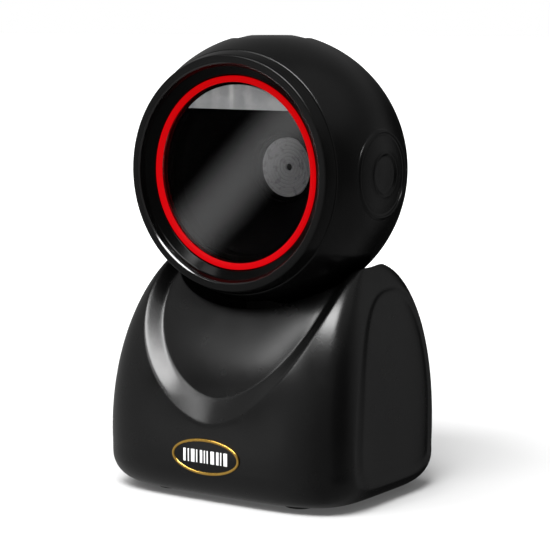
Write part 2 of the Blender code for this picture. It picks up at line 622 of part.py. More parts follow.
def make_engine():
    centre = at(0, 0, HEAD_Z, FORWARD)
    chassis = cylinder("optics_chassis", 28 * MM, 2 * MM, (0, 7.3 * MM, HEAD_Z), FORWARD, BLACK, 56)
    for side, word in ((1, "right"), (-1, "left")):
        ear = box(f"{word}_chassis_ear", (14 * MM, 2 * MM, 3.4 * MM),
                  (side * 23.9 * MM, 7.3 * MM, HEAD_Z + 22.6 * MM))
        join(chassis, ear)
        cut(chassis,
            cylinder(f"{word}_ear_hole", 1.0 * MM, 6 * MM, chassis_screw_place(side, 7.3), FORWARD,
                     sides=16))
        screw(f"chassis_screw_{word}", 1.6 * MM, 0.7 * MM, at(*chassis_screw_place(side, 5.0), FORWARD),
              1.0 * MM, 5 * MM)
        cut(chassis,
            cylinder(f"{word}_spacer_hole", 1.2 * MM, 6 * MM, (side * 20.5 * MM, 7.3 * MM, HEAD_Z), FORWARD,
                     sides=16))
        spacer = cylinder(f"board_spacer_{word}", 2.2 * MM, 16.8 * MM,
                          (side * 20.5 * MM, 17.0 * MM, HEAD_Z), FORWARD, GREY, 16)
        cut(spacer,
            cylinder(f"{word}_spacer_bore", 1.2 * MM, 30 * MM, (side * 20.5 * MM, 17.0 * MM, HEAD_Z),
                     FORWARD, sides=16))
    cut(chassis, cylinder("chassis_bore", 10.8 * MM, 6 * MM, (0, 7.3 * MM, HEAD_Z), FORWARD, sides=40))
    housing = box("engine_housing", (28 * MM, 12.6 * MM, 24 * MM), (0, 14.9 * MM, HEAD_Z), BLACK, 0.6 * MM)
    cone = mm_points((0, -8), (10.3, -8), (10.3, -9.9), (6.3, -13.7), (4.2, -13.7), (4.2, -24), (0, -24))
    cut(housing, turned("engine_bore", cone, centre, None, 32, False))
    radius, depth = 1.8, -10.5
    steps = [(9.9, -8.7), (9.9, -9.8), (8.8, -11.1), (radius, -11.1)]
    while radius < 9.0:
        steps.append((radius, depth))
        radius += 1.3
        steps.append((radius, depth))
        depth += 0.28
    turned("lens_baffle", mm_points(*steps), centre, GREY, 32)
    turned("scan_lens", mm_points((0, -14.0), (2.0, -14.15), (3.9, -14.7), (3.9, -16.5), (0, -16.5)),
           centre, GLASS, 32, False)
    box("sensor_board", (28 * MM, 1.2 * MM, 24 * MM), (0, 22.1 * MM, HEAD_Z), BOARD)
    box("decoder_board", (46 * MM, 1.4 * MM, 32 * MM), (0, 26.4 * MM, HEAD_Z), BOARD)
    cylinder("beeper", 4.8 * MM, 3.4 * MM, (-8 * MM, 29.1 * MM, HEAD_Z + 6 * MM), FORWARD, BLACK, 28)


def make_rear_cover():
    """The back of the ball, held by two screws in deep wells."""
    edge = math.asin(REAR_SEAM / HEAD_R) + math.radians(0.4)
    inner = math.asin(REAR_SEAM / SHELL_INNER_R) + math.radians(0.4)
    profile = arc(HEAD_R, -edge, -math.pi / 2, 7) + arc(SHELL_INNER_R, -math.pi / 2, -inner, 4)
    cover = turned("rear_cover", profile, at(0, 0, HEAD_Z, FORWARD), BLACK, 48)
    back = Matrix.Rotation(math.radians(-90), 4, "X")
    for side, word in ((1, "right"), (-1, "left")):
        boss = cylinder(f"{word}_cover_boss", 2.9 * MM, 2.8 * MM, cover_screw_place(side, 21.7), FORWARD,
                        sides=20)
        join(cover, boss)
        cut(cover,
            cylinder(f"{word}_cover_bore", 1.6 * MM, 20 * MM, cover_screw_place(side, 24), FORWARD,
                     sides=16))
        cut(cover,
            cylinder(f"{word}_cover_sink", 2.5 * MM, 10 * MM, cover_screw_place(side, 27.6), FORWARD,
                     sides=20))
        screw(f"cover_screw_{word}", 2.1 * MM, 1.25 * MM, at(*cover_screw_place(side, 24.3), back),
              1.4 * MM, 8 * MM)


def make_button():
    top = 41.9
    cap = mm_points((0, top - 0.25), (3.5, top - 0.15), (5.2, top), (6.0, top - 0.4), (6.0, 37.8),
                    (8.2, 37.8))
    stem = mm_points((8.2, 36.9), (1.6, 36.9), (1.6, 35.4), (0, 35.4))
    turned("trigger_button", cap + stem, at(0, 0, HEAD_Z), BLACK, 32, False)
    box("button_board", (25.6 * MM, 9 * MM, 1.2 * MM), (0, 0, HEAD_Z + 30.1 * MM), BOARD)
    switch = box("tact_switch", (6 * MM, 6 * MM, 2.4 * MM), (0, 0, HEAD_Z + 32.2 * MM), GREY, 0.2 * MM)
    join(switch, cylinder("switch_plunger", 1.5 * MM, 1.4 * MM, (0, 0, HEAD_Z + 33.6 * MM), sides=16))


make_base()
make_badge()
make_base_insides()
make_yoke()
make_shell()
make_bezel()
make_optics()
make_rear_cover()
make_button()
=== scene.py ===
"""A hands-free barcode scanner on a white sweep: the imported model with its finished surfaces.

Lengths in the profiles are millimetres. The head's middle is HEAD, and pieces turned about the
front-to-back axis are drawn by (radius, forward) points from it.
"""
import math

import bmesh
import bpy
import numpy as np
from mathutils import Matrix, Vector


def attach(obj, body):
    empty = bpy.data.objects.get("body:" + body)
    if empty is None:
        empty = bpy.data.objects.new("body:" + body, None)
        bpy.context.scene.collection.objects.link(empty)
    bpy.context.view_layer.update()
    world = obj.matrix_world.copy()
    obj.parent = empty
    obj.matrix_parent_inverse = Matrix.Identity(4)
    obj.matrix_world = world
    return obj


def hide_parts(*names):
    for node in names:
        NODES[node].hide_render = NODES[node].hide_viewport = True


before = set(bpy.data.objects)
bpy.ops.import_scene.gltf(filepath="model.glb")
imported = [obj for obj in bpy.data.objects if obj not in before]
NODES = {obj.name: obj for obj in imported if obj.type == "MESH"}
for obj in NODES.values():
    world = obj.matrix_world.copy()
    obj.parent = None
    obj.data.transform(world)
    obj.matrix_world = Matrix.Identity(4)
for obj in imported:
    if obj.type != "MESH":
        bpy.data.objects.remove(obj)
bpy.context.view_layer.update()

MM = 0.001
HEAD_AHEAD = 3.25
HEAD_Z = 101.5
HEAD_R = 43.0
SHELL_INNER_R = 40.5
FRONT_SEAM = 20.6
REAR_SEAM = 20.0
PANE_FRONT = 19.9
# The part is drawn round ORIGIN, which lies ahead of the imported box's middle.
ORIGIN = Vector((0, -HEAD_AHEAD, 0)) * MM
HEAD = Vector((0, -HEAD_AHEAD, HEAD_Z)) * MM
FORWARD = Matrix.Translation(HEAD) @ Matrix.Rotation(math.radians(90), 4, "X")
UP = Matrix.Translation(HEAD)
SIDES = {
    "right": (1, Matrix.Translation(HEAD) @ Matrix.Rotation(math.radians(90), 4, "Y")),
    "left": (-1, Matrix.Translation(HEAD) @ Matrix.Rotation(math.radians(-90), 4, "Y")),
}


# ---------------------------------------------------------------- materials


class Nodes:
    """Short calls for building one material's node tree."""

    def __init__(self, name):
        self.material = bpy.data.materials.new(name)
        self.material.use_nodes = True
        self.tree = self.material.node_tree
        self.shader = self.tree.nodes["Principled BSDF"]
        self.coords = self.add("ShaderNodeTexCoord").outputs["Object"]

    def add(self, kind, **inputs):
        node = self.tree.nodes.new(kind)
        for key, value in inputs.items():
            self.put(node.inputs[key.replace("_", " ")], value)
        return node

    def put(self, socket, value):
        if isinstance(value, bpy.types.NodeSocket):
            self.tree.links.new(value, socket)
        else:
            socket.default_value = value

    def set(self, **inputs):
        for key, value in inputs.items():
            self.put(self.shader.inputs[key.replace("_", " ")], value)

    def noise(self, scale, detail=3.0, roughness=0.5):
        node = self.add("ShaderNodeTexNoise", Vector=self.coords, Scale=scale, Detail=detail)
        node.inputs["Roughness"].default_value = roughness
        return node.outputs["Fac"]

    def remap(self, value, low, high, start=0.3, end=0.7):
        node = self.add("ShaderNodeMapRange", Value=value)
        node.inputs["From Min"].default_value = start
        node.inputs["From Max"].default_value = end
        node.inputs["To Min"].default_value = low
        node.inputs["To Max"].default_value = high
        return node.outputs["Result"]

    def ramp(self, value, *stops):
        node = self.add("ShaderNodeValToRGB", Fac=value)
        elements = node.color_ramp.elements
        for i, (place, colour) in enumerate(stops):
            element = elements[i] if i < 2 else elements.new(place)
            element.position = place
            element.color = (*colour, 1.0)
        return node.outputs["Color"]

    def bump(self, value, distance):
        node = self.add("ShaderNodeBump", Height=value, Distance=distance, Strength=1.0)
        return node.outputs["Normal"]


def plastic(name, dark, light, rough, grain, grain_depth, specular=0.5):
    """Moulded plastic: slightly uneven colour and gloss, and a fine grain."""
    n = Nodes(name)
    n.set(Base_Color=n.ramp(n.noise(55.0), (0.3, dark), (0.7, light)))
    n.set(Roughness=n.remap(n.noise(130.0, 4.0), rough[0], rough[1]))
    n.shader.inputs["Specular IOR Level"].default_value = specular
    n.set(Normal=n.bump(n.noise(grain, 2.0), grain_depth))
    return n.material


def metal(name, dark, light, rough):
    """Bare metal: slightly uneven colour and gloss, and a very fine grain."""
    n = Nodes(name)
    n.set(Base_Color=n.ramp(n.noise(180.0, 4.0), (0.3, dark), (0.7, light)))
    n.set(Roughness=n.remap(n.noise(420.0, 3.0), rough[0], rough[1]))
    n.shader.inputs["Metallic"].default_value = 1.0
    n.set(Normal=n.bump(n.noise(4000.0, 2.0), 1e-5))
    return n.material


def glowing(name, base, dark, light, low, high, heights, rough=0.3, face=None):
    """A lit piece: its glow changes with height, from heights[0] to heights[1] millimetres.

    With face, only what lies further forward than that range glows in full.
    """
    n = Nodes(name)
    z = n.add("ShaderNodeSeparateXYZ", Vector=n.coords).outputs["Z"]
    level = n.remap(z, 0.0, 1.0, heights[0] * MM, heights[1] * MM)
    patchy = n.add("ShaderNodeMath", Value=level)
    n.tree.links.new(n.remap(n.noise(90.0, 2.0), -0.06, 0.06), patchy.inputs[1])
    n.set(Base_Color=(*base, 1.0), Emission_Color=n.ramp(patchy.outputs[0], (0.0, dark), (1.0, light)))
    strength = n.remap(patchy.outputs[0], low, high, 0.0, 1.0)
    if face:
        y = n.add("ShaderNodeSeparateXYZ", Vector=n.coords).outputs["Y"]
        back, fore = (-(HEAD_AHEAD + reach) * MM for reach in face)
        front = n.add("ShaderNodeMath", Value=n.remap(y, 1.0, 0.05, fore, back))
        front.operation = "MULTIPLY"
        n.tree.links.new(strength, front.inputs[1])
        strength = front.outputs[0]
    n.set(Emission_Strength=strength)
    n.set(Roughness=n.remap(n.noise(300.0), rough, rough + 0.08))
    return n.material


def grey(level):
    """A neutral colour."""
    return (level, level, level)


SOFT_BLACK = (grey(0.0009), grey(0.0015))
CLEAN_BLACK = (grey(0.002), grey(0.003))
SATIN = plastic("satin_black", *SOFT_BLACK, (0.23, 0.28), 1500.0, 1e-5, 0.38)
HEAD_SATIN = plastic("head_black", *SOFT_BLACK, (0.22, 0.27), 1500.0, 8e-6, 0.27)
GLOSS = plastic("gloss_black", *CLEAN_BLACK, (0.1, 0.13), 600.0, 2e-6, 0.34)
BEZEL = plastic("bezel_black", *SOFT_BLACK, (0.2, 0.25), 1500.0, 8e-6, 0.19)
FUNNEL = plastic("funnel_black", grey(0.0006), grey(0.001), (0.14, 0.18), 700.0, 2e-6, 0.06)
LIP = plastic("lip_black", *CLEAN_BLACK, (0.1, 0.14), 700.0, 2e-6, 0.8)
# The dull inner black also serves as painted shade on the base's saddle.
DARK_AND_SHADE = plastic("inner_black_and_saddle_shade", grey(0.0012), grey(0.002), (0.75, 0.85), 1500.0, 2e-5, 0.04)
GREY = plastic("grey_moulding", (0.2, 0.2, 0.205), (0.26, 0.26, 0.265), (0.45, 0.55), 1300.0, 2e-5)
WHITE = plastic("white_print", grey(0.82), grey(0.88), (0.38, 0.46), 1200.0, 5e-6)
ACETAL = plastic("white_acetal", (0.72, 0.72, 0.7), (0.8, 0.8, 0.78), (0.35, 0.45), 900.0, 1e-5)
RUBBER = plastic("black_rubber", grey(0.014), grey(0.022), (0.75, 0.9), 1400.0, 5e-5, 0.25)
BOARD = plastic("green_board", (0.006, 0.05, 0.018), (0.01, 0.075, 0.03), (0.3, 0.42), 700.0, 2e-5)
GOLD = metal("gold_rim", (0.62, 0.36, 0.07), (0.74, 0.46, 0.11), (0.16, 0.24))
STEEL = metal("zinc_steel", (0.42, 0.42, 0.43), (0.55, 0.55, 0.56), (0.28, 0.42))
PIN = metal("gold_pin", (0.7, 0.5, 0.2), (0.8, 0.6, 0.28), (0.2, 0.3))
PAINTED = plastic("painted_steel", grey(0.01), grey(0.014), (0.4, 0.5), 1800.0, 2e-5, 0.3)
RED = glowing("red_glow", (0.03, 0.0, 0.0), (0.7, 0.0015, 0.005), (0.58, 0.0005, 0.002), 0.92, 0.92,
              (75, 125), rough=0.45, face=(19.9, 20.2))
RED.node_tree.nodes["Principled BSDF"].inputs["Specular IOR Level"].default_value = 0.02
LED = glowing("led_glow", (0.9, 0.9, 0.88), (1.0, 0.98, 0.94), (1.0, 0.98, 0.94), 0.6, 0.7, (120, 125))


# ---------------------------------------------------------------- mesh tools


def add_object(name, mesh, material, sharp=35.0):
    """A smooth-shaded object whose edges above the sharp angle, in degrees, stay crisp."""
    obj = bpy.data.objects.new(name, mesh)
    bpy.context.scene.collection.objects.link(obj)
    if material:
        mesh.materials.append(material)
    mesh.shade_smooth()
    mesh.set_sharp_from_angle(angle=math.radians(sharp))
    return obj


def mesh_of(name, points, faces):
    """A mesh with merged points and its faces turned outwards."""
    mesh = bpy.data.meshes.new(name)
    mesh.from_pydata([tuple(p) for p in points], [], faces)
    bm = bmesh.new()
    bm.from_mesh(mesh)
    bmesh.ops.remove_doubles(bm, verts=bm.verts, dist=1e-7)
    bmesh.ops.recalc_face_normals(bm, faces=bm.faces)
    if bm.calc_volume(signed=True) < 0:
        bmesh.ops.reverse_faces(bm, faces=bm.faces)
    bm.to_mesh(mesh)
    bm.free()
    return mesh


def rounded(points, closed=True):
    """(radius, height) points from (radius, height, fillet) corners, with each fillet as a short arc."""
    out = []
    count = len(points)
    for i, (r, h, *rest) in enumerate(points):
        fillet = rest[0] if rest else 0.0
        ends = not closed and i in (0, count - 1)
        if not fillet or ends:
            out.append((r, h))
            continue
        corner = np.array((r, h), float)
        before = np.array(points[i - 1][:2], float) - corner
        after = np.array(points[(i + 1) % count][:2], float) - corner
        reach = min(fillet, 0.48 * np.linalg.norm(before), 0.48 * np.linalg.norm(after))
        a = corner + before / np.linalg.norm(before) * reach
        b = corner + after / np.linalg.norm(after) * reach
        for t in np.linspace(0, 1, 6):
            out.append(tuple((1 - t) ** 2 * a + 2 * t * (1 - t) * corner + t * t * b))
    return out


def lathe(name, profile, matrix, material=None, steps=160, closed=True, sharp=35.0):
    """A ring or disc turned about matrix's Z axis from (radius, height) points in millimetres."""
    points, faces = [], []
    count = len(profile)
    for i in range(steps):
        c, s = math.cos(2 * math.pi * i / steps), math.sin(2 * math.pi * i / steps)
        points += [matrix @ Vector((r * c * MM, r * s * MM, h * MM)) for r, h in profile]
    for i in range(steps):
        a, b = i * count, ((i + 1) % steps) * count
        for j in range(count if closed else count - 1):
            k = (j + 1) % count
            if profile[j][0] < 1e-9 and profile[k][0] < 1e-9:
                continue
            if profile[j][0] < 1e-9:
                faces.append((a + j, b + k, a + k))
            elif profile[k][0] < 1e-9:
                faces.append((a + j, b + j, a + k))
            else:
                faces.append((a + j, b + j, b + k, a + k))
    return add_object(name, mesh_of(name, points, faces), material, sharp)


def ball_arc(radius, start, end, steps):
    """(radius, height) points on a ball, at polar heights start to end."""
    first, last = math.asin(start / radius), math.asin(end / radius)
    angles = np.linspace(first, last, steps)
    return [(radius * math.cos(a), radius * math.sin(a)) for a in angles]


def on_ball(depth, *radii):
    """(radius, height) points at these radii, on a ball depth below the head's surface."""
    ball = HEAD_R - depth
    return [(r, math.sqrt(ball * ball - r * r)) for r in radii]


def block(name, size, centre, material=None, bevel=0.0, turn=None):
    """A box in millimetres, with rounded edges if it has a bevel."""
    bm = bmesh.new()
    bmesh.ops.create_cube(bm, size=1.0)
    bmesh.ops.scale(bm, vec=[s * MM for s in size], verts=bm.verts)
    if bevel:
        bmesh.ops.bevel(bm, geom=bm.edges, offset=bevel * MM, segments=3, affect="EDGES", profile=0.5)
    matrix = Matrix.Translation(ORIGIN + Vector(centre) * MM)
    bmesh.ops.transform(bm, matrix=matrix @ turn if turn else matrix, verts=bm.verts)
    mesh = bpy.data.meshes.new(name)
    bm.to_mesh(mesh)
    bm.free()
    return add_object(name, mesh, material)


def carve(target, *cutters, sharp=35.0):
    """Cuts the cutters out of target, applies the cut and removes them."""
    for cutter in cutters:
        modifier = target.modifiers.new("cut", "BOOLEAN")
        modifier.operation = "DIFFERENCE"
        modifier.solver = "EXACT"
        modifier.object = cutter
    graph = bpy.context.evaluated_depsgraph_get()
    mesh = bpy.data.meshes.new_from_object(target.evaluated_get(graph))
    target.modifiers.clear()
    target.data = mesh
    mesh.shade_smooth()
    mesh.set_sharp_from_angle(angle=math.radians(sharp))
    for cutter in cutters:
        bpy.data.objects.remove(cutter)


def stand_for(obj, body, *nodes):
    """Hangs obj on a body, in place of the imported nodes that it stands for."""
    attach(obj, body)
    if nodes:
        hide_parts(*nodes)


# ---------------------------------------------------------------- base

BOTTOM = 1.5
TOP = 73.6
SADDLE_R = 46.0
SADDLE_CENTRE = np.array((0, 0, HEAD_Z))
HALF_WIDTH = 46.6
FRONT = 36.0
REAR = 36.6
# The bottom edge is an elliptical curve this far in and this high.
EDGE_IN = 8.0
EDGE_HIGH = 9.6
# The scoop hangs from this height, and its rim is this far to each side and down.
SCOOP_TOP = 68.2
SCOOP_HALF = 35.0
SCOOP_DROP = 43.2
# The side recess is drawn round this point, and it leans back with height.
PANEL_Y = 3.25
PANEL_Z = 20.0
PANEL_LEAN = 0.125
PANEL_DEEP = 1.2
# How wide the recess's wall is, and how round the corners of both recesses' walls are.
PANEL_RUN = 1.83
PANEL_SOFT = 0.14
SCOOP_SOFT = 0.07
# Points in each row round the base.
COLUMNS = 600


def fade(start, end, value, power):
    """1 up to start and 0 from end, along a superellipse."""
    t = np.clip((value - start) / (end - start), 0.0, 1.0)
    return (1.0 - t**power) ** (1.0 / power)


def base_extents(z):
    """Half width, front and rear depth, and squareness of the base's outline at height z."""
    depth = np.clip((BOTTOM + EDGE_HIGH - z) / EDGE_HIGH, 0.0, 1.0)
    inset = EDGE_IN * (1.0 - np.sqrt(1.0 - depth * depth))
    half = HALF_WIDTH * fade(8.9, 102.4, z, 2.2) - inset
    front = FRONT * fade(13.5, TOP, z, 1.9) - inset
    rear = REAR * fade(6.0, TOP, z, 3.1) - inset
    squareness = 4.5 + 2.1 * np.clip((z - 14.0) / 60.0, 0.0, 1.0)
    return half, front, rear, squareness


def outline_at(angle, half, front, rear, squareness):
    """Point at this polar angle on a rounded rectangle whose front and rear depths can differ."""
    c, s = np.cos(angle), np.sin(angle)
    depth = np.where(s > 0, rear, front)
    depth = np.maximum(depth, 1e-3)
    reach = ((np.abs(c) / half) ** squareness + (np.abs(s) / depth) ** squareness) ** (-1.0 / squareness)
    return reach * c, reach * s


def ramp01(value, soft):
    """0 below 0 and 1 above 1, with both corners rounded."""
    def corner(x):
        return 0.5 * (x + np.sqrt(x * x + soft * soft))
    return corner(value) - corner(value - 1.0)


def solve(inside, low, high, steps=28):
    """The level at which inside(level) turns false, by halving; inside is true at low."""
    for _ in range(steps):
        middle = 0.5 * (low + high)
        keep = inside(middle)
        low = np.where(keep, middle, low)
        high = np.where(keep, high, middle)
    return 0.5 * (low + high)


def scoop_level(x, z):
    """0 on the scoop's outer edge and 1 on the edge of its floor."""
    def inside(level):
        half = np.maximum(SCOOP_HALF - 4.2 * level, 0.5)
        drop = np.maximum(SCOOP_DROP - 7.7 * level, 0.5)
        power = 1.7 + 0.13 * level
        low = np.clip(SCOOP_TOP - z, 0.0, None)
        return (np.abs(x) / half) ** power + (low / drop) ** power < 1.0
    return solve(inside, np.full(x.shape, -1.2), np.full(x.shape, 7.2))


def panel_grow(y, z):
    """How far a point of the side lies outside the edge of the recess's floor."""
    up = z > PANEL_Z
    power = np.where(up, 2.4, 5.0)
    height = np.where(up, 44.0, 11.6)
    run = y - PANEL_Y - PANEL_LEAN * np.clip(z - PANEL_Z, 0.0, None)
    depth = np.where(run > 0, 21.75, 20.25)
    ease = np.where(run > 0, 1.0, 2.7)

    def outside(grow):
        a = np.abs(run) / np.maximum(depth + grow * ease, 0.1)
        b = np.abs(z - PANEL_Z) / np.maximum(height + grow, 0.1)
        return a**power + b**power > 1.0
    return solve(outside, np.full(y.shape, -11.0), np.full(y.shape, 25.0))


def base_surface(angle, z):
    """The base's outer surface with the scoop and the side recesses, and without the saddle."""
    half, front, rear, squareness = base_extents(z)
    x, y = outline_at(angle, half, front, rear, squareness)
    level = scoop_level(x, z)
    at_front = y < 0
    # The scoop gets deeper towards the top, and its floor is domed.
    depth = 2.8 + 0.09 * np.clip(z - 32.7, 0.0, 37.3)
    dome = 1.5 * (1.0 - np.exp(-np.clip(level - 1.0, 0.0, None) / 1.8))
    y_new = np.where(at_front, y + depth * ramp01(level, SCOOP_SOFT) - dome, y)
    grow = panel_grow(y, z)
    recess = PANEL_DEEP * ramp01(1.0 - grow / PANEL_RUN, PANEL_SOFT)
    side = np.clip((np.abs(x) / half - 0.55) / 0.1, 0.0, 1.0)
    x_new = x - np.sign(x) * recess * side
    return np.stack([x_new, y_new, z], -1)


def even_angles(z, per_quarter):
    """Polar angles that spread points evenly along the outline at height z."""
    half, front, rear, squareness = (float(v) for v in base_extents(np.float64(z)))
    dense = np.linspace(0, np.pi / 2, 700)
    out = []
    for quarter in range(4):
        angles = dense + quarter * np.pi / 2
        x, y = outline_at(angles, half, max(front, 0.5), max(rear, 0.5), squareness)
        run = np.concatenate([[0], np.cumsum(np.hypot(np.diff(x), np.diff(y)))])
        out.append(np.interp(np.arange(per_quarter) / per_quarter * run[-1], run, angles))
    return np.concatenate(out)


def saddle_gap(points):
    """How far points lie outside the saddle's ball."""
    return np.linalg.norm(points - SADDLE_CENTRE, axis=-1) - SADDLE_R


def sphere_walk(start, end, fractions):
    """Rows of points along the saddle's great circles, from start's points to end's."""
    a = (start - SADDLE_CENTRE) / SADDLE_R
    b = (end - SADDLE_CENTRE) / np.linalg.norm(end - SADDLE_CENTRE, axis=1, keepdims=True)
    omega = np.arccos(np.clip((a * b).sum(1), -1, 1))[:, None]
    return [SADDLE_CENTRE + SADDLE_R * (np.sin((1 - t) * omega) * a + np.sin(t * omega) * b) / np.sin(omega)
            for t in fractions]


def column_angles():
    """Heights up the base and, for each of them, the polar angle of every column of points."""
    levels = np.concatenate([np.linspace(BOTTOM + 0.001, 70.0, 150), np.linspace(70.1, TOP - 0.02, 60)])
    table = np.array([even_angles(z, COLUMNS // 4) for z in levels])
    # The points are spaced evenly up to this height, and above it each column keeps its angle.
    settle_z = 60.0
    table[levels > settle_z] = table[np.searchsorted(levels, settle_z)]
    return levels, table


def rim_heights(levels, table, row_at):
    """The height at which each column of the outer surface meets the saddle."""
    gap = np.array([saddle_gap(base_surface(row, np.full(COLUMNS, z))) for row, z in zip(table, levels)])
    rim_z = np.empty(COLUMNS)
    for i in range(COLUMNS):
        inside = int(np.argmax(gap[:, i] < 0))
        g0, g1 = gap[inside - 1, i], gap[inside, i]
        rim_z[i] = levels[inside - 1] + (levels[inside] - levels[inside - 1]) * g0 / (g0 - g1)
    # Those heights lie on straight lines between levels, and these steps bring them onto the saddle.
    for _ in range(3):
        now = saddle_gap(row_at(rim_z))
        slope = (now - saddle_gap(row_at(rim_z - 0.05))) / 0.05
        rim_z = np.clip(rim_z - np.clip(now / slope, -0.3, 0.3), 20, TOP - 0.02)
    return rim_z


def opening_rows(angles):
    """The opening under the base, which the bottom plate closes, from its inner edge down."""
    rows = []
    for grow, z in ((0.0, 5.2), (0.0, 2.0), (0.15, 1.65), (0.5, 1.5)):
        x, y = outline_at(angles, 36.4 + grow, 26.6 + grow, 27.0 + grow, 5.0)
        rows.append(np.stack([x, y, np.full(COLUMNS, z)], -1))
    return rows


def saddle_rows(edge_low, rim, fillet):
    """The rounded rim, the saddle, and the slot for the yoke's stem in its middle."""
    around = np.arctan2(rim[:, 1], rim[:, 0])
    slot_x, slot_y = outline_at(around, 8.3, 2.8, 2.8, 12)
    slot = np.stack([slot_x, slot_y, HEAD_Z - np.sqrt(SADDLE_R**2 - slot_x**2 - slot_y**2)], -1)
    cosine = ((rim - SADDLE_CENTRE) * (slot - SADDLE_CENTRE)).sum(1) / SADDLE_R**2
    span = SADDLE_R * np.arccos(np.clip(cosine, -1, 1))
    edge_in = sphere_walk(rim, slot, [fillet / np.median(span)])[0]
    rows = []
    for t in (0.2, 0.4, 0.6, 0.8, 1.0):
        rows.append((1 - t) ** 2 * edge_low + 2 * t * (1 - t) * rim + t * t * edge_in)
    rows += sphere_walk(edge_in, slot, np.linspace(0, 1, 30)[1:])
    for z in (54.5, 50.0):
        low = slot.copy()
        low[:, 2] = z
        rows.append(low)
    return rows


def base_rows():
    """Closed rows of points: out of the opening, up the outside to the rim and down the saddle."""
    levels, table = column_angles()

    def row_at(z):
        angle = np.array([np.interp(z[i], levels, table[:, i]) for i in range(COLUMNS)])
        return base_surface(angle, z)

    rim_z = rim_heights(levels, table, row_at)
    rim = row_at(rim_z)
    # How far the surface runs for each millimetre of height at the rim.
    steepness = np.linalg.norm(rim - row_at(rim_z - 0.2), axis=1) / 0.2
    fillet = 0.55
    rows = opening_rows(table[-1])
    for a in np.radians(np.linspace(6, 90, 10)):
        rows.append(row_at(np.full(COLUMNS, BOTTOM + EDGE_HIGH * (1 - math.cos(a)))))
    start, end = BOTTOM + EDGE_HIGH, rim_z - fillet / steepness
    for t in np.linspace(0, 1, 122)[1:]:
        rows.append(row_at(start + (end - start) * t))
    return rows + saddle_rows(rows[-1], rim, fillet)


def row_faces(count, columns):
    """Quads between closed rows of points, with a cap on the first row and on the last."""
    faces = []
    for r in range(count - 1):
        low, high = r * columns, (r + 1) * columns
        for i in range(columns):
            j = (i + 1) % columns
            faces.append((low + i, low + j, high + j, high + i))
    faces.append(tuple(range(columns))[::-1])
    faces.append(tuple((count - 1) * columns + i for i in range(columns)))
    return faces


def make_base():
    """The housing, with the cable socket's window in its rear."""
    rows = np.array(base_rows()) * MM + np.array(ORIGIN)
    faces = row_faces(len(rows), COLUMNS)
    body = add_object("base_shell", mesh_of("base_shell", rows.reshape(-1, 3), faces), SATIN, 50.0)
    # The saddle lies in the head's shade and reads as plain black: it gets the dull inner black, which
    # hardly reflects, as painted shade.
    body.data.materials.append(DARK_AND_SHADE)
    for face in body.data.polygons:
        if (face.center - HEAD).length < (SADDLE_R + 0.02) * MM:
            face.material_index = 1
    window = block("window_cut", (13.4, 12.0, 10.6), (0, 34.0, 19.0), bevel=0.5)
    carve(body, window, sharp=50.0)
    stand_for(body, "base", "base_housing")


def make_badge():
    """Gold oval rim round a black field with a row of bars."""
    badge_z = 15.2
    upright = Matrix.Rotation(math.radians(90), 4, "X")
    place = Matrix.Translation(ORIGIN + Vector((0, 0, badge_z)) * MM) @ upright
    half_x, half_z = 12.7, 5.65

    def oval(name, profile, material, closed):
        """Turned pieces whose radius is the distance inside the oval's edge."""
        points, faces = [], []
        steps, count = 160, len(profile)
        for i in range(steps):
            c, s = math.cos(2 * math.pi * i / steps), math.sin(2 * math.pi * i / steps)
            for inset, h in profile:
                spot = Vector(((half_x - inset) * c * MM, (half_z - inset) * s * MM, h * MM))
                points.append(place @ spot)
        for i in range(steps):
            a, b = i * count, ((i + 1) % steps) * count
            for j in range(count if closed else count - 1):
                k = (j + 1) % count
                faces.append((a + j, b + j, b + k, a + k))
        if not closed:
            faces.append(tuple(i * count for i in range(steps)))
            faces.append(tuple(i * count + count - 1 for i in range(steps)))
        return add_object(name, mesh_of(name, points, faces), material, 40.0)

    rim = rounded([(0, 34.4), (0, 36.35, 0.25), (0.25, 36.5, 0.15), (0.7, 36.5, 0.15), (0.95, 36.3, 0.1),
                   (0.95, 34.4)])
    stand_for(oval("badge_frame", rim, GOLD, True), "base", "badge_rim")
    field = [(1.0, 34.4), (1.0, 36.2), (1.25, 36.24)]
    stand_for(oval("badge_field", field, GLOSS, False), "base", "badge_plate")
    widths = (0.9, 0.45, 1.35, 0.45, 0.9, 0.45, 0.45, 1.35, 0.9, 0.45, 1.35)
    gaps = (0.8, 0.8, 0.6, 1.0, 0.6, 0.6, 1.0, 0.8, 0.6, 0.8, 0)
    x = -(sum(widths) + sum(gaps)) / 2
    for i, (width, gap) in enumerate(zip(widths, gaps)):
        spot = (x + width / 2, -36.24, badge_z)
        stand_for(block(f"badge_bar_{i + 1}", (width, 0.25, 4.0), spot, WHITE, 0.06), "base")
        x += width + gap


def cross_screw(name, head_r, head, shank_r, length, matrix, body, node):
    """A pan-head screw with a cross recess; its head's top is at local z 0."""
    profile = [(0, 0.0), (head_r * 0.55, -0.05), (head_r * 0.86, -0.25), (head_r, -0.6), (head_r, -head),
               (shank_r, -head), (shank_r, -head - length), (0, -head - length)]
    obj = lathe(name, profile, matrix, STEEL, 48, False, 40.0)
    cutters = []
    for turn in (0, 90):
        bm = bmesh.new()
        bmesh.ops.create_cube(bm, size=1.0)
        bmesh.ops.scale(bm, vec=(head_r * 1.15 * MM, head_r * 0.24 * MM, 1.4 * MM), verts=bm.verts)
        rotate = Matrix.Rotation(math.radians(turn), 4, "Z")
        bmesh.ops.transform(bm, matrix=matrix @ rotate, verts=bm.verts)
        mesh = bpy.data.meshes.new("cross")
        bm.to_mesh(mesh)
        bm.free()
        cutters.append(add_object(f"{name}_cross_{turn}", mesh, None))
    carve(obj, *cutters, sharp=40.0)
    stand_for(obj, body, node)


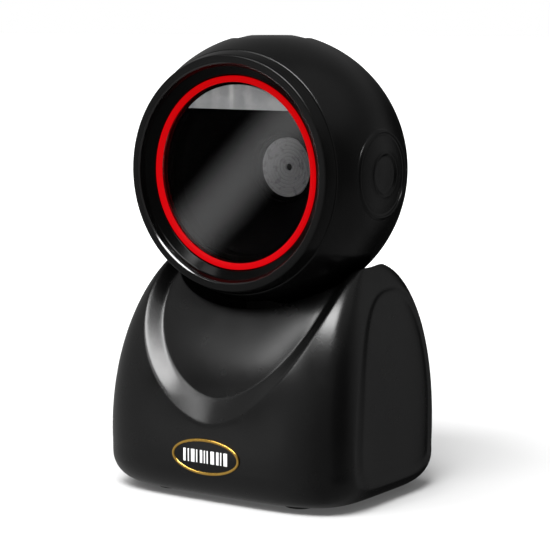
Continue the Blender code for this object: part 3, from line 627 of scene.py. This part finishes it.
def make_underside():
    """Screws and feet; each foot has a moulded ring in its tread."""
    flip = Matrix.Rotation(math.radians(180), 4, "X")
    places = ((-31.0, -8.0), (31.0, -8.0), (-31.0, 11.0), (31.0, 11.0))
    for i, (x, y) in enumerate(places):
        matrix = Matrix.Translation(ORIGIN + Vector((x, y, 2.0)) * MM) @ flip
        cross_screw(f"plate_screw_{i + 1}", 3.0, 1.3, 1.3, 9.0, matrix, "base", f"base_screw_{i + 1}")
    profile = rounded([(0, 2.6), (5.0, 2.6), (5.0, 0.0, 0.9), (3.4, 0.0, 0.15), (3.3, 0.25, 0.1),
                       (2.9, 0.25, 0.1), (2.8, 0.0, 0.15), (0, 0.0)], closed=False)
    feet = ((-24.3, -20.1), (24.3, -20.1), (-24.3, 21.0), (24.3, 21.0))
    for i, (x, y) in enumerate(feet):
        matrix = Matrix.Translation(ORIGIN + Vector((x, y, 0)) * MM)
        foot = lathe(f"foot_{i + 1}", profile, matrix, RUBBER, 64, False)
        stand_for(foot, "base", f"rubber_foot_{i + 1}")


def make_socket_pins():
    """Sprung contacts in the roof of the cable socket."""
    pitch = 1.02
    for i in range(10):
        x = (i - 4.5) * pitch
        pin = block(f"socket_pin_{i + 1}", (0.4, 7.0, 0.35), (x, 26.0, 16.4), PIN, 0.08,
                    Matrix.Rotation(math.radians(-14), 4, "X"))
        stand_for(pin, "base")


# ---------------------------------------------------------------- head


def make_shell():
    """The ball between its seams, with seats for the caps and a dish round the button."""
    outer = ball_arc(HEAD_R, FRONT_SEAM - 0.25, -(REAR_SEAM - 0.25), 84)
    inner = ball_arc(SHELL_INNER_R, -REAR_SEAM, FRONT_SEAM, 30)
    front_r = math.sqrt(HEAD_R**2 - FRONT_SEAM**2)
    rear_r = math.sqrt(HEAD_R**2 - REAR_SEAM**2)
    profile = outer + [(rear_r - 0.12, -REAR_SEAM + 0.04), (rear_r - 0.4, -REAR_SEAM)] + inner
    profile += [(front_r - 0.4, FRONT_SEAM), (front_r - 0.12, FRONT_SEAM - 0.04)]
    shell = lathe("ball_shell", profile, FORWARD, HEAD_SATIN, 240)
    cutters = []
    seat = [(0, 47), (12.9, 47), (12.7, 40.95), (12.3, 40.9), (12.0, 40.85), (12.0, 39.5), (5.0, 39.5),
            (5.0, 38.8), (0, 38.8)]
    for word, (_, matrix) in SIDES.items():
        cutters.append(lathe(f"{word}_seat_cut", seat, matrix, None, 120, False))
    dish = [(0, 47), (13.4, 47), (12.75, 41.3), (12.45, 41.0), (12.15, 40.82)]
    dish += on_ball(0.5, 11.8, 10.5, 9, 7.5, 6.5, 5, 3, 0)
    cutters.append(lathe("top_dish_cut", dish, UP, None, 120, False))
    hole = [(0, 50), (6.25, 50), (6.25, 36), (0, 36)]
    cutters.append(lathe("button_hole_cut", hole, UP, None, 96, False))
    # The slot under the ball lets the head tilt round the yoke's stem.
    front = HEAD_R * math.sin(math.radians(19.8))
    rear = HEAD_R * math.sin(math.radians(24.8))
    slot_centre = (0, (rear - front) / 2, HEAD_Z - 42)
    cutters.append(block("stem_cut", (18.0, front + rear, 20.0), slot_centre, bevel=2.0))
    carve(shell, *cutters)
    stand_for(shell, "head", "head_shell")


def make_caps():
    """Caps over the pivots: a shallow middle inside a low ridge, and another ridge round the edge."""
    profile = [(0, 42.1), (2.0, 42.05), (4.0, 41.85), (5.3, 41.6), (5.8, 41.68), (6.2, 42.05),
               (6.5, 42.25), (6.8, 42.25), (7.1, 42.08), (7.4, 41.98)]
    profile += on_ball(0.4, 8.4, 9.4, 10.4, 11.3, 11.8)
    profile += [(11.97, 40.88), (11.97, 39.8), (5.2, 39.8), (5.2, 40.8), (0, 40.8)]
    ridge = [(12.7, 40.4), (12.7, 41.1), (12.85, 41.3), (13.1, 41.38), (13.35, 41.28), (13.75, 40.92),
             (14.1, 40.6), (14.1, 40.2)]
    for word, (_, matrix) in SIDES.items():
        cap = lathe(f"side_cap_{word}", profile, matrix, HEAD_SATIN, 160, False)
        stand_for(cap, "head", f"pivot_cap_{word}")
        stand_for(lathe(f"cap_lip_{word}", ridge, matrix, HEAD_SATIN, 200, True, 50.0), "head")


def make_button():
    """A shallow dished cap with the flange that keeps it in and the pin that reaches the switch."""
    profile = [(0, 41.62), (2.0, 41.66), (3.6, 41.76), (4.8, 41.88), (5.35, 41.9), (5.7, 41.82),
               (5.92, 41.62), (6.0, 41.35), (6.0, 37.8), (8.2, 37.8), (8.2, 36.9), (1.6, 36.9),
               (1.6, 35.4), (0, 35.4)]
    stand_for(lathe("push_button", profile, UP, HEAD_SATIN, 128, False), "button", "trigger_button")


def make_bezel():
    """Front band with a glossy inner lip, then a dark funnel down to the light ring."""
    lip_outer, lip_inner = 34.05, 33.6
    profile = rounded([
        (lip_outer, 24.85, 0.08), (36.3, 24.72, 0.5), (37.6, 20.95, 0.12), (34.5, 20.9), (34.3, 15.8),
        (33.5, 15.8), (33.5, 17.6), (30.3, 17.6), (30.3, 20.9, 0.2), (33.0, 22.6, 0.4),
        (lip_inner, 24.4, 0.08)])
    bezel = lathe("funnel_bezel", profile, FORWARD, BEZEL, 256)
    bezel.data.materials.append(FUNNEL)
    bezel.data.materials.append(LIP)
    for face in bezel.data.polygons:
        radius = math.hypot(face.center.x, face.center.z - HEAD.z) / MM
        if radius < lip_outer:
            face.material_index = 1 if radius < lip_inner - 0.02 else 2
    stand_for(bezel, "head", "front_bezel")
    # The ring's inner edge covers the edge of the pane.
    ring = rounded([(28.0, 20.6, 0.3), (28.9, 21.2, 0.8), (29.9, 21.1, 0.3), (30.0, 17.6), (28.6, 17.6),
                    (28.6, 19.95), (28.0, 19.95)])
    stand_for(lathe("glow_ring", ring, FORWARD, RED, 256), "head", "light_ring")


def make_cover():
    """The rear of the ball, with two screws in wells."""
    edge = REAR_SEAM + 0.3
    edge_r = math.sqrt(HEAD_R**2 - edge**2)
    outer = [(edge_r - 0.4, -edge), (edge_r - 0.12, -edge - 0.04)]
    outer += ball_arc(HEAD_R, -(edge + 0.25), -HEAD_R, 60)
    inner = ball_arc(SHELL_INNER_R, -SHELL_INNER_R, -edge, 24)
    # The ends are put exactly on the axis.
    outer[-1] = (0, -HEAD_R)
    inner[0] = (0, -SHELL_INNER_R)
    cover = lathe("rear_dome", outer + inner, FORWARD, HEAD_SATIN, 240)

    def screw_place(side, y):
        spot = ORIGIN + Vector((side * 31.0, y, HEAD_Z + 11.4)) * MM
        return Matrix.Translation(spot) @ Matrix.Rotation(math.radians(-90), 4, "X")

    well = [(0, 12), (3.1, 12), (2.5, 5.2), (2.5, 0), (1.6, 0), (1.6, -6), (0, -6)]
    cutters = [lathe(f"{word}_well_cut", well, screw_place(side, 22.9), None, 48, False)
               for word, (side, _) in SIDES.items()]
    carve(cover, *cutters)
    stand_for(cover, "head", "rear_cover")
    for word, (side, _) in SIDES.items():
        place = screw_place(side, 24.3)
        cross_screw(f"dome_screw_{word}", 2.1, 1.4, 1.25, 8.0, place, "head", f"cover_screw_{word}")


def make_window():
    """The clear pane, the shroud behind it and the frosted strip across its top."""
    # The points at 28.2 keep the faces flat up to their rounded edge, so the pane doesn't act as a lens.
    pane = rounded([(0, PANE_FRONT), (28.2, PANE_FRONT), (28.5, PANE_FRONT, 0.06), (28.5, 18.4, 0.06),
                    (28.2, 18.4), (0, 18.4)], closed=False)
    n = Nodes("tinted_window")
    n.set(Base_Color=n.ramp(n.noise(40.0), (0.3, (0.88, 0.88, 0.89)), (0.7, (0.91, 0.91, 0.92))))
    n.set(Roughness=n.remap(n.noise(90.0), 0.012, 0.02))
    n.shader.inputs["Transmission Weight"].default_value = 1.0
    n.shader.inputs["IOR"].default_value = 1.45
    n.set(Normal=n.bump(n.noise(25.0, 1.0), 2e-6))
    stand_for(lathe("window_pane", pane, FORWARD, n.material, 192, False), "head", "scan_window")
    shroud = rounded([(27.4, 16.6), (27.4, 12.5), (13.0, -6.0), (11.8, -6.0), (26.1, 12.0, 0.5),
                      (26.1, 16.6)])
    stand_for(lathe("funnel_shroud", shroud, FORWARD, DARK_AND_SHADE, 128), "head", "light_shroud")
    strip = rounded([(0, 18.1), (27.1, 18.1, 0.1), (27.1, 16.9, 0.1), (0, 16.9)], closed=False)
    # The strip's glow is painted light: it stands for the lamps' light shining through it.
    strip = lathe("frosted_strip_painted_glow", strip, FORWARD, diffuser_painted_glow_material(), 192, False)
    carve(strip, block("strip_cut", (80, 10, 60), (0, -17.5, HEAD_Z - 10.5)))
    stand_for(strip, "head", "led_diffuser")


def make_baffle():
    """Stepped disc round the lens: each tread has a low raised lip, so that it shows as a fine line. It is
    also painted with a glow in one band to each tread, brighter on the left than on the right.
    """
    tread = 1.16
    radius, depth = 1.2, -10.3
    steps = [(9.5, -9.4), (9.5, -9.8), (8.8, -11.1), (radius, -11.1)]
    while radius < 8.6:
        lip = depth + 0.16
        steps += [(radius, depth), (radius + 0.7, depth), (radius + 0.85, lip), (radius + 1.0, lip)]
        radius += tread
        steps.append((radius, depth + 0.02))
        depth += 0.12
    n = Nodes("baffle_grey_painted_glow")
    split = n.add("ShaderNodeSeparateXYZ", Vector=n.coords)
    across = n.remap(split.outputs["X"], 0.0, 1.0, -9 * MM, 9 * MM)
    n.set(Base_Color=n.ramp(n.noise(200.0), (0.3, grey(0.1)), (0.7, grey(0.11))))
    # Painted light: the glow is brighter on the left side and dim on the right.
    n.set(Emission_Color=n.ramp(across, (0.0, grey(0.15)), (1.0, grey(0.03))))
    from_axis = n.add("ShaderNodeVectorMath", Vector=n.coords)
    from_axis.operation = "SUBTRACT"
    from_axis.inputs[1].default_value = HEAD
    # Painted light: bright bands of glow, one to each tread.
    rings = n.add("ShaderNodeTexWave", Vector=from_axis.outputs[0], Scale=math.pi / (10 * tread * MM))
    rings.wave_type = "RINGS"
    rings.rings_direction = "Y"
    n.set(Emission_Strength=n.remap(rings.outputs["Fac"], 0.4, 0.52, 0.0, 1.0))
    n.shader.inputs["Specular IOR Level"].default_value = 0.6
    n.set(Roughness=n.remap(n.noise(500.0), 0.25, 0.35), Normal=n.bump(n.noise(1500.0, 2.0), 1e-5))
    stand_for(lathe("baffle_rings", steps, FORWARD, n.material, 128, True, 20.0), "head", "lens_baffle")


def diffuser_painted_glow_material():
    """Frosted strip painted with a glow, as though lit from behind, with soft blotches and bright spots;
    the painted glow fades towards its lower edge.
    """
    n = Nodes("frosted_strip_painted_glow")
    split = n.add("ShaderNodeSeparateXYZ", Vector=n.coords)
    total = n.remap(n.noise(170.0, 4.0, 0.6), -0.2, 0.45, 0.35, 0.65)
    # Where each painted bright spot is from left to right, its reach and how much glow it adds.
    spots = ((-8.4, 2.6, 0.45), (-2.2, 1.6, 0.7), (4.0, 2.6, 0.5), (12.5, 4.5, 0.25), (-14.0, 5.0, 0.2))
    for x, width, gain in spots:
        near = n.add("ShaderNodeMath", Value=split.outputs["X"])
        near.operation = "SUBTRACT"
        near.inputs[1].default_value = x * MM
        distance = n.add("ShaderNodeMath", Value=near.outputs[0])
        distance.operation = "ABSOLUTE"
        fall = n.remap(distance.outputs[0], gain, 0.0, 0.0, width * MM)
        fall.node.interpolation_type = "SMOOTHERSTEP"
        join = n.add("ShaderNodeMath", Value=fall)
        n.tree.links.new(total, join.inputs[1])
        total = join.outputs[0]
    up = n.remap(split.outputs["Z"], 0.35, 1.0, 120.6 * MM, 124.6 * MM)
    lit = n.add("ShaderNodeMath", Value=total)
    lit.operation = "MULTIPLY"
    n.tree.links.new(up, lit.inputs[1])
    level = n.remap(lit.outputs[0], 0.3, 0.62, 0.0, 1.0)
    n.set(Base_Color=n.ramp(n.noise(150.0), (0.3, grey(0.12)), (0.7, grey(0.15))))
    n.set(Emission_Color=n.ramp(lit.outputs[0], (0.0, (0.42, 0.43, 0.43)), (1.0, (0.55, 0.54, 0.52))))
    n.set(Emission_Strength=level, Roughness=n.remap(n.noise(400.0), 0.5, 0.6))
    n.set(Normal=n.bump(n.noise(1200.0, 2.0), 2e-5))
    return n.material


def dress_nodes():
    """Materials and softened edges for the CAD pieces that show as they are."""
    pairs = ("yoke_screw", "pivot_screw", "friction_washer", "chassis_screw", "board_spacer")
    looks = {
        SATIN: ["bottom_plate"],
        PAINTED: ["tilt_yoke"],
        GREY: ["cable_socket", "tact_switch", "board_spacer"],
        BOARD: ["interface_board", "led_board", "sensor_board", "decoder_board", "button_board"],
        STEEL: ["ballast_plate", "yoke_screw", "pivot_screw", "chassis_screw"],
        ACETAL: ["friction_washer"],
        LED: ["white_led_1", "white_led_2", "white_led_3"],
        DARK_AND_SHADE: ["ring_led_board", "optics_chassis", "engine_housing", "beeper"],
        GLOSS: ["scan_lens"],
    }
    for material, names in looks.items():
        for name in names:
            for node_name in [f"{name}_right", f"{name}_left"] if name in pairs else [name]:
                node = NODES[node_name]
                if not node.data.materials:
                    node.data.materials.append(material)
                for i in range(len(node.data.materials)):
                    node.data.materials[i] = material
    for name in ("bottom_plate", "cable_socket", "tilt_yoke"):
        bevel = NODES[name].modifiers.new("soft_edges", "BEVEL")
        bevel.width = 0.25 * MM
        bevel.segments = 2
        bevel.limit_method = "ANGLE"
        bevel.angle_limit = math.radians(40)
        bevel.harden_normals = False


# ---------------------------------------------------------------- stage

# Metres.
LIGHT_AIM = Vector((0, 0, 0.08))
LIGHT_DISTANCE = 1.3
CARD_DISTANCE = 0.25
CAMERA_DISTANCE = 0.6403


def heading(azimuth, elevation):
    """Unit vector; azimuth 0 is in front and positive to the right."""
    a, e = math.radians(azimuth), math.radians(elevation)
    return Vector((math.sin(a) * math.cos(e), -math.cos(a) * math.cos(e), math.sin(e)))


def area_light(name, azimuth, elevation, size, power):
    """A softbox that faces the object."""
    spot = LIGHT_AIM + LIGHT_DISTANCE * heading(azimuth, elevation)
    light = bpy.data.lights.new(name, "AREA")
    light.shape = "RECTANGLE"
    light.size, light.size_y = size
    light.energy = power
    obj = bpy.data.objects.new(name, light)
    turn = (LIGHT_AIM - spot).to_track_quat("-Z", "Y").to_matrix().to_4x4()
    obj.matrix_world = Matrix.Translation(spot) @ turn
    obj.visible_camera = False
    bpy.context.scene.collection.objects.link(obj)


def studio_world():
    """White to the camera; to the object a dim room with a few lighter and darker parts."""
    world = bpy.data.worlds.new("studio")
    bpy.context.scene.world = world
    world.use_nodes = True
    tree = world.node_tree

    def node(kind, **settings):
        made = tree.nodes.new(kind)
        for key, value in settings.items():
            made.inputs[key.replace("_", " ")].default_value = value
        return made

    direction = node("ShaderNodeTexCoord").outputs["Generated"]
    room = None
    # Azimuth, elevation, how far round it fades out and is full (as cosines), and the level added.
    parts = ((0, 90, -2.0, -1.5, 0.2), (-34, 18, 0.98, 0.997, -0.14), (-58, -12, 0.1, 0.95, 0.24),
             (100, 58, 0.8, 0.98, 0.25), (82, 6, 0.8, 0.98, -0.15), (-30, 0, 0.965, 0.995, 0.33),
             (-178, -12, 0.72, 0.95, -0.19), (145, -4, 0.86, 0.98, 0.12))
    for azimuth, elevation, outer, full, level in parts:
        dot = node("ShaderNodeVectorMath")
        dot.operation = "DOT_PRODUCT"
        dot.inputs[1].default_value = heading(azimuth, elevation)
        tree.links.new(direction, dot.inputs[0])
        fall = node("ShaderNodeMapRange", From_Min=outer, From_Max=full, To_Min=0.0, To_Max=level)
        fall.interpolation_type = "SMOOTHSTEP"
        tree.links.new(dot.outputs["Value"], fall.inputs["Value"])
        value = fall.outputs["Result"]
        if room is not None:
            join = node("ShaderNodeMath")
            tree.links.new(room, join.inputs[0])
            tree.links.new(value, join.inputs[1])
            value = join.outputs[0]
        room = value
    strength = node("ShaderNodeMapRange", To_Max=1.0)
    tree.links.new(node("ShaderNodeLightPath").outputs["Is Camera Ray"], strength.inputs["Value"])
    tree.links.new(room, strength.inputs["To Min"])
    background = tree.nodes["Background"]
    background.inputs["Color"].default_value = (1, 1, 1, 1)
    tree.links.new(strength.outputs["Result"], background.inputs["Strength"])


def stage_sheet(name, half_x, half_y, material):
    """A flat rectangle of the studio, which isn't part of the object."""
    mesh = bpy.data.meshes.new(name)
    corners = [(-half_x, -half_y, 0), (half_x, -half_y, 0), (half_x, half_y, 0), (-half_x, half_y, 0)]
    mesh.from_pydata(corners, [], [(0, 1, 2, 3)])
    mesh.materials.append(material)
    obj = bpy.data.objects.new(name, mesh)
    bpy.context.scene.collection.objects.link(obj)
    return obj


def window_card():
    """A black card off to the left with a soft slanting glow; its reflection fills the scan window."""
    n = Nodes("soft_card")
    slant = math.radians(48.8)
    across = n.add("ShaderNodeVectorMath", Vector=n.coords)
    across.operation = "DOT_PRODUCT"
    across.inputs[1].default_value = (math.sin(slant), -math.cos(slant), 0)
    off = n.add("ShaderNodeMath", Value=across.outputs["Value"])
    off.operation = "SUBTRACT"
    off.inputs[1].default_value = 2.7 * MM
    distance = n.add("ShaderNodeMath", Value=off.outputs[0])
    distance.operation = "ABSOLUTE"
    glow = n.remap(distance.outputs[0], 1.0, 0.0, 1 * MM, 16.5 * MM)
    glow.node.interpolation_type = "SMOOTHSTEP"
    n.set(Base_Color=(0, 0, 0, 1), Emission_Color=(1, 1, 1, 1), Emission_Strength=glow)
    n.shader.inputs["Specular IOR Level"].default_value = 0.0
    card = stage_sheet("window_card", 35 * MM, 42 * MM, n.material)
    # The window mirrors the photo's point of view in this direction.
    away = Vector((-0.576, -0.8137, -0.0773))
    along = Vector((0.816, -0.578, 0.0))
    upward = along.cross(-away)
    spot = HEAD + Vector((0, -PANE_FRONT, 0)) * MM + away * CARD_DISTANCE
    turn = Matrix((along, upward, along.cross(upward))).transposed().to_4x4()
    card.matrix_world = Matrix.Translation(spot) @ turn
    card.visible_camera = False
    card.visible_diffuse = False
    card.visible_shadow = False


def make_stage():
    """Pale floor, studio world, softboxes and a broad light from above."""
    n = Nodes("pale_sweep")
    n.set(Base_Color=n.ramp(n.noise(6.0), (0.3, grey(0.56)), (0.7, grey(0.57))))
    n.set(Roughness=n.remap(n.noise(30.0), 0.75, 0.85), Emission_Color=(1, 1, 1, 1))
    # The glow grows away from the object, so that the floor runs into the background.
    distance = n.add("ShaderNodeVectorMath", Vector=n.coords)
    distance.operation = "LENGTH"
    n.set(Emission_Strength=n.remap(distance.outputs["Value"], 0.08, 1.0, 0.09, 0.6))
    n.shader.inputs["Specular IOR Level"].default_value = 0.1
    floor = stage_sheet("floor", 12.0, 12.0, n.material)
    floor.visible_glossy = False
    studio_world()
    window_card()
    area_light("front_softbox", 12, 58, (0.8, 0.48), 26)
    area_light("left_strip", -30, 38, (0.23, 0.6), 3.2)
    sun = bpy.data.lights.new("overhead_sun", "SUN")
    sun.energy = 1.8
    sun.angle = math.radians(60)
    lamp = bpy.data.objects.new("overhead_sun", sun)
    tip, lean = Matrix.Rotation(math.radians(-18), 4, "Y"), Matrix.Rotation(math.radians(8), 4, "X")
    lamp.matrix_world = tip @ lean
    lamp.visible_glossy = False
    bpy.context.scene.collection.objects.link(lamp)


def make_camera():
    """A long lens in front, to the right and a little above."""
    toward = Vector((0.5571, -0.8206, 0.1276)).normalized()
    target = ORIGIN + Vector((1.32, 0, 67.79)) * MM
    camera = bpy.data.cameras.new("camera")
    camera.lens = 131.8
    camera.sensor_width = 36.0
    camera.clip_start = 0.01
    camera.clip_end = 50.0
    obj = bpy.data.objects.new("camera", camera)
    turn = (-toward).to_track_quat("-Z", "Y").to_matrix().to_4x4()
    obj.matrix_world = Matrix.Translation(target + toward * CAMERA_DISTANCE) @ turn
    bpy.context.scene.collection.objects.link(obj)
    bpy.context.scene.camera = obj


make_base()
make_badge()
make_underside()
make_socket_pins()
make_shell()
make_caps()
make_button()
make_bezel()
make_cover()
make_window()
make_baffle()
dress_nodes()
make_stage()
make_camera()
bpy.context.scene.view_settings.view_transform = "Standard"
